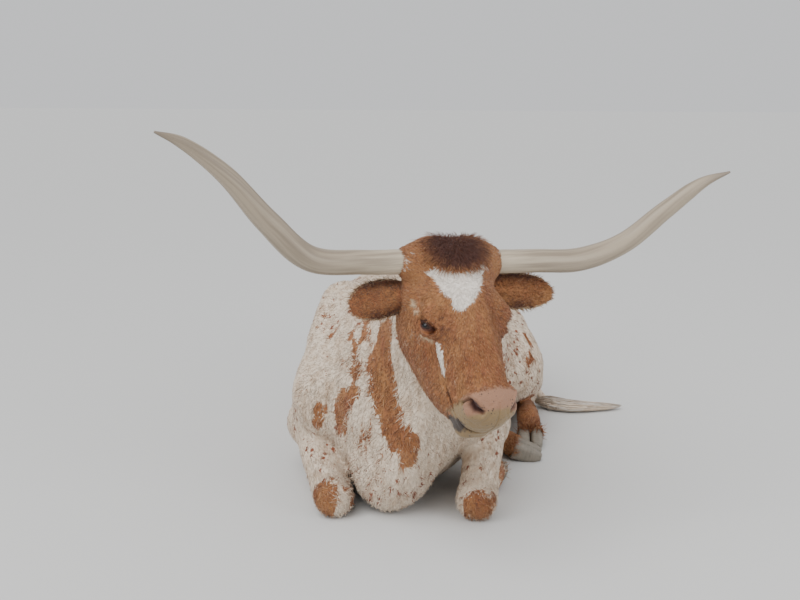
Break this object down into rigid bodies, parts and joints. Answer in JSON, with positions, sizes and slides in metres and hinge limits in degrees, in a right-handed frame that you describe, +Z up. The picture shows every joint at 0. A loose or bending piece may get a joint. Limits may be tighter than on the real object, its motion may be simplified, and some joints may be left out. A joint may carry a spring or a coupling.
{
  "type": "texas longhorn",
  "caption": "Life-size Texas longhorn lying on its brisket with its head raised, brown and white coat, long curved horns and a white forehead mark.",
  "frame": {"origin": "on the ground under the middle of the bounding box", "axes": "+X the animal's left, along the spread of the horns, -Y the way the body points, +Z up"},
  "size_m": [1.45, 2.2296, 1.2158],
  "materials": {
    "body_coat": "short creamy white coat with brown patches and speckles",
    "head_coat": "short reddish brown coat",
    "long_hair": "long cream hair",
    "horn": "grey tan horn with fine lengthwise streaks",
    "eye": "wet dark brown",
    "hoof": "grey, dry and slightly rough"
  },
  "bodies": {
    "root": {"head": "head_coat", "neck": "body_coat", "torso": "body_coat", "foreleg_right_upper": "body_coat", "foreleg_right_lower": "body_coat", "foreleg_left_upper": "body_coat", "foreleg_left_lower": "body_coat", "hindleg_right_upper": "body_coat", "hindleg_right_lower": "body_coat", "hindleg_left_upper": "body_coat", "hindleg_left_lower": "body_coat", "tail": "body_coat", "tail_switch": "long_hair", "horn_right": "horn", "horn_left": "horn", "ear_right": "head_coat", "ear_left": "head_coat", "eye_right": "eye", "eye_left": "eye", "claw_fore_right_outer": "hoof", "claw_fore_right_inner": "hoof", "claw_fore_left_outer": "hoof", "claw_fore_left_inner": "hoof", "claw_hind_right_outer": "hoof", "claw_hind_right_inner": "hoof", "claw_hind_left_outer": "hoof", "claw_hind_left_inner": "hoof"}
  },
  "joints": []
}
